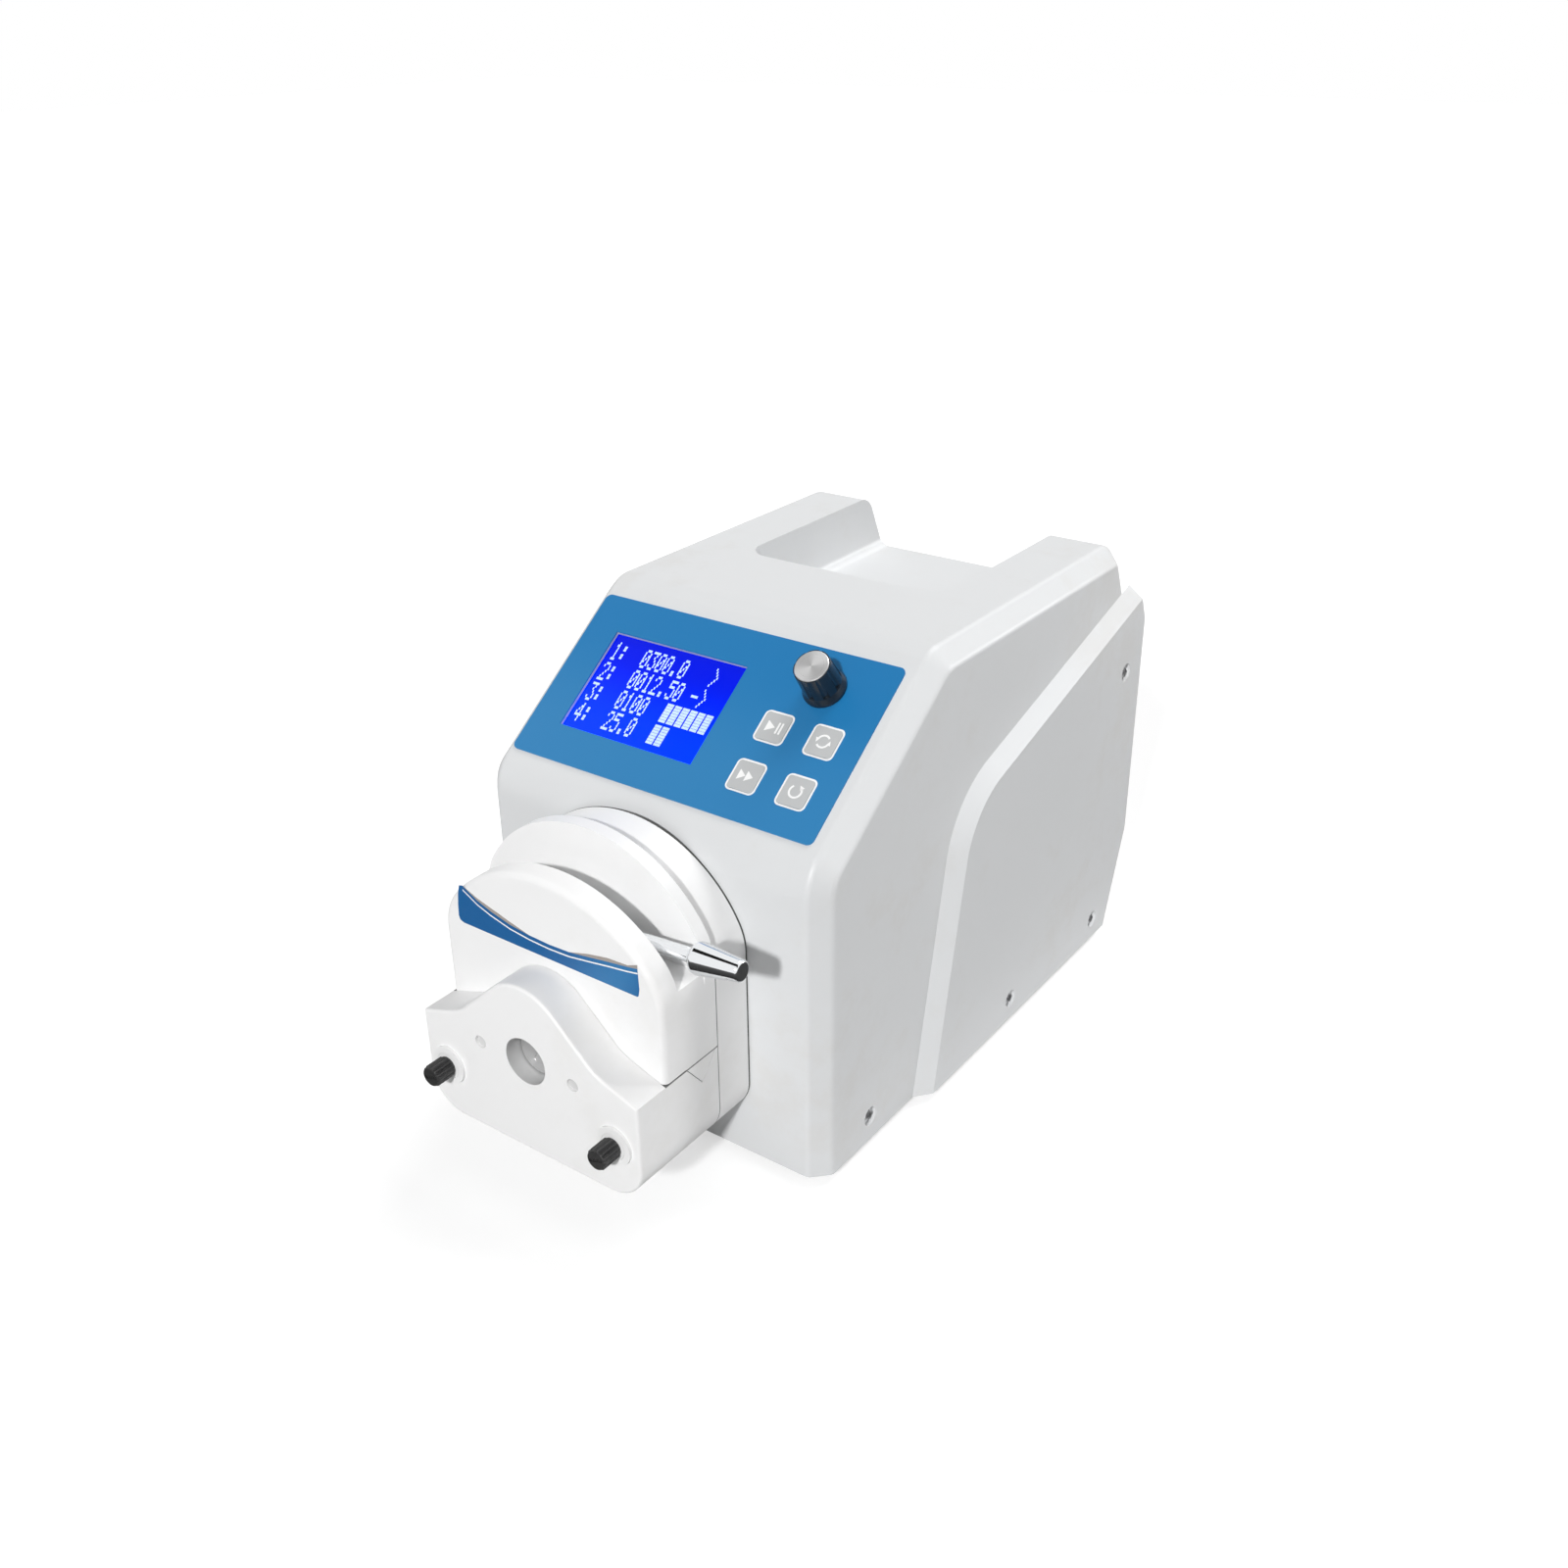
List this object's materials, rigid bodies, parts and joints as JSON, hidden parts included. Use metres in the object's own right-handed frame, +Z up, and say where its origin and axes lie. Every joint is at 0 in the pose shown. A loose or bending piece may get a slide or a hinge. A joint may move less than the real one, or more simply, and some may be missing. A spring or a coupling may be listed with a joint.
{
  "type": "peristaltic pump",
  "caption": "Benchtop peristaltic pump: moulded drive unit with a sloped control panel, and a roller head whose lever lifts the pressing block to load the tube.",
  "frame": {"origin": "floor, under the middle of the whole pump", "axes": "+Z up, +Y from the pump head towards the rear panel, +X to the right seen from the front"},
  "size_m": [0.167, 0.3106, 0.186],
  "materials": {
    "housing_white": "fine satin",
    "head_white": "smooth satin",
    "tray_steel": "powder coated",
    "foot_rubber": "matt",
    "screw_steel": "bright",
    "overlay_film": "satin printed film",
    "display_window": "gloss",
    "black_plastic": "satin",
    "board_green": "satin",
    "key_grey": "satin",
    "knob_black": "fine matt",
    "spun_aluminium": "spun",
    "plate_aluminium": "machined",
    "motor_black": "satin",
    "case_steel": "plain",
    "gasket_rubber": "matt",
    "lever_chrome": "polished",
    "clamp_black": "satin",
    "roller_steel": "ground",
    "bronze": "plain"
  },
  "bodies": {
    "drive_unit": {"housing_cover": "housing_white", "base_tray": "tray_steel", "rubber_feet": "foot_rubber", "side_screws": "screw_steel", "overlay_panel": "overlay_film", "display_glass": "display_window", "display_frame": "black_plastic", "control_board": "board_green", "encoder_body": "case_steel", "motor_plate": "plate_aluminium", "motor_body": "motor_black", "motor_screws": "screw_steel", "power_supply": "case_steel", "motor_driver": "motor_black", "rear_panel": "tray_steel", "power_inlet": "black_plastic", "switch_bezel": "black_plastic", "signal_port": "screw_steel", "fan_frame": "black_plastic", "head_gasket": "gasket_rubber", "head_back_plate": "head_white", "head_bolts": "screw_steel", "lower_body": "head_white", "apron_screws": "screw_steel", "guide_posts": "roller_steel", "rear_bearing": "roller_steel", "front_bearing": "roller_steel", "cam_yoke": "bronze", "clamp_collars": "head_white"},
    "upper_block": {"upper_block": "head_white", "lever_pin": "roller_steel"},
    "lever": {"lever_hub": "lever_chrome", "lever_rod": "lever_chrome", "lever_knob": "lever_chrome"},
    "rotor": {"drive_shaft": "roller_steel", "shaft_cap": "spun_aluminium", "front_disc": "plate_aluminium", "rear_spool": "plate_aluminium", "roller_axles": "roller_steel", "shaft_coupling": "plate_aluminium", "motor_shaft": "screw_steel"},
    "roller_1": {"roller_1": "roller_steel"},
    "roller_2": {"roller_2": "roller_steel"},
    "roller_3": {"roller_3": "roller_steel"},
    "clamp_left": {"clamp_spindle_left": "roller_steel", "clamp_knob_left": "clamp_black"},
    "clamp_right": {"clamp_spindle_right": "roller_steel", "clamp_knob_right": "clamp_black"},
    "jaw_left": {"clamp_jaw_left": "head_white"},
    "jaw_right": {"clamp_jaw_right": "head_white"},
    "speed_control": {"encoder_shaft": "screw_steel", "speed_knob": "knob_black", "knob_cap": "spun_aluminium"},
    "key_run": {"key_run": "key_grey"},
    "key_direction": {"key_direction": "key_grey"},
    "key_prime": {"key_prime": "key_grey"},
    "key_mode": {"key_mode": "key_grey"},
    "fan": {"fan_rotor": "black_plastic"},
    "rocker": {"power_rocker": "clamp_black"}
  },
  "joints": [
    {"name": "lever_swing", "type": "hinge", "parent": "upper_block", "child": "lever", "pos_m": [-0.0045, -0.1121, 0.1045], "axis": [0, -1, 0], "range_deg": [0, 171]},
    {"name": "block_lift", "type": "slide", "parent": "drive_unit", "child": "upper_block", "axis": [0, 0, 1], "range_m": [0, 0.012]},
    {"name": "rotor_spin", "type": "hinge", "parent": "drive_unit", "child": "rotor", "pos_m": [-0.0045, -0.1067, 0.0612], "axis": [0, -1, 0], "continuous": true},
    {"name": "roller_1_spin", "type": "hinge", "parent": "rotor", "child": "roller_1", "pos_m": [-0.0045, -0.1067, 0.0782], "axis": [0, -1, 0], "continuous": true},
    {"name": "roller_2_spin", "type": "hinge", "parent": "rotor", "child": "roller_2", "pos_m": [-0.01922, -0.1067, 0.0527], "axis": [0, -1, 0], "continuous": true},
    {"name": "roller_3_spin", "type": "hinge", "parent": "rotor", "child": "roller_3", "pos_m": [0.01022, -0.1067, 0.0527], "axis": [0, -1, 0], "continuous": true},
    {"name": "clamp_left_turn", "type": "hinge", "parent": "drive_unit", "child": "clamp_left", "pos_m": [-0.044, -0.14, 0.0435], "axis": [0, -1, 0], "range_deg": [0, 180]},
    {"name": "jaw_left_slide", "type": "slide", "parent": "drive_unit", "child": "jaw_left", "axis": [0, 0, -1], "range_m": [0, 0.006]},
    {"name": "clamp_right_turn", "type": "hinge", "parent": "drive_unit", "child": "clamp_right", "pos_m": [0.035, -0.14, 0.0435], "axis": [0, -1, 0], "range_deg": [0, 180]},
    {"name": "jaw_right_slide", "type": "slide", "parent": "drive_unit", "child": "jaw_right", "axis": [0, 0, -1], "range_m": [0, 0.006]},
    {"name": "speed_turn", "type": "hinge", "parent": "drive_unit", "child": "speed_control", "pos_m": [0.0411, -0.02405, 0.17029], "axis": [0, -0.5912, 0.8065], "continuous": true},
    {"name": "key_run_press", "type": "slide", "parent": "drive_unit", "child": "key_run", "axis": [0, 0.5912, -0.8065], "range_m": [0, 0.0005], "stiffness_N_per_m": 600},
    {"name": "key_direction_press", "type": "slide", "parent": "drive_unit", "child": "key_direction", "axis": [0, 0.5912, -0.8065], "range_m": [0, 0.0005], "stiffness_N_per_m": 600},
    {"name": "key_prime_press", "type": "slide", "parent": "drive_unit", "child": "key_prime", "axis": [0, 0.5912, -0.8065], "range_m": [0, 0.0005], "stiffness_N_per_m": 600},
    {"name": "key_mode_press", "type": "slide", "parent": "drive_unit", "child": "key_mode", "axis": [0, 0.5912, -0.8065], "range_m": [0, 0.0005], "stiffness_N_per_m": 600},
    {"name": "fan_spin", "type": "hinge", "parent": "drive_unit", "child": "fan", "pos_m": [0.01, 0.145, 0.109], "axis": [0, 1, 0], "continuous": true},
    {"name": "rocker_tilt", "type": "hinge", "parent": "drive_unit", "child": "rocker", "pos_m": [-0.042, 0.1483, 0.116], "axis": [-1, 0, 0], "range_deg": [0, 16]}
  ],
  "couplings": [
    {"joint": "block_lift", "follows": "lever_swing", "m_per_rad": 0.004},
    {"joint": "jaw_left_slide", "follows": "clamp_left_turn", "m_per_rad": 0.0019099},
    {"joint": "jaw_right_slide", "follows": "clamp_right_turn", "m_per_rad": 0.0019099}
  ]
}
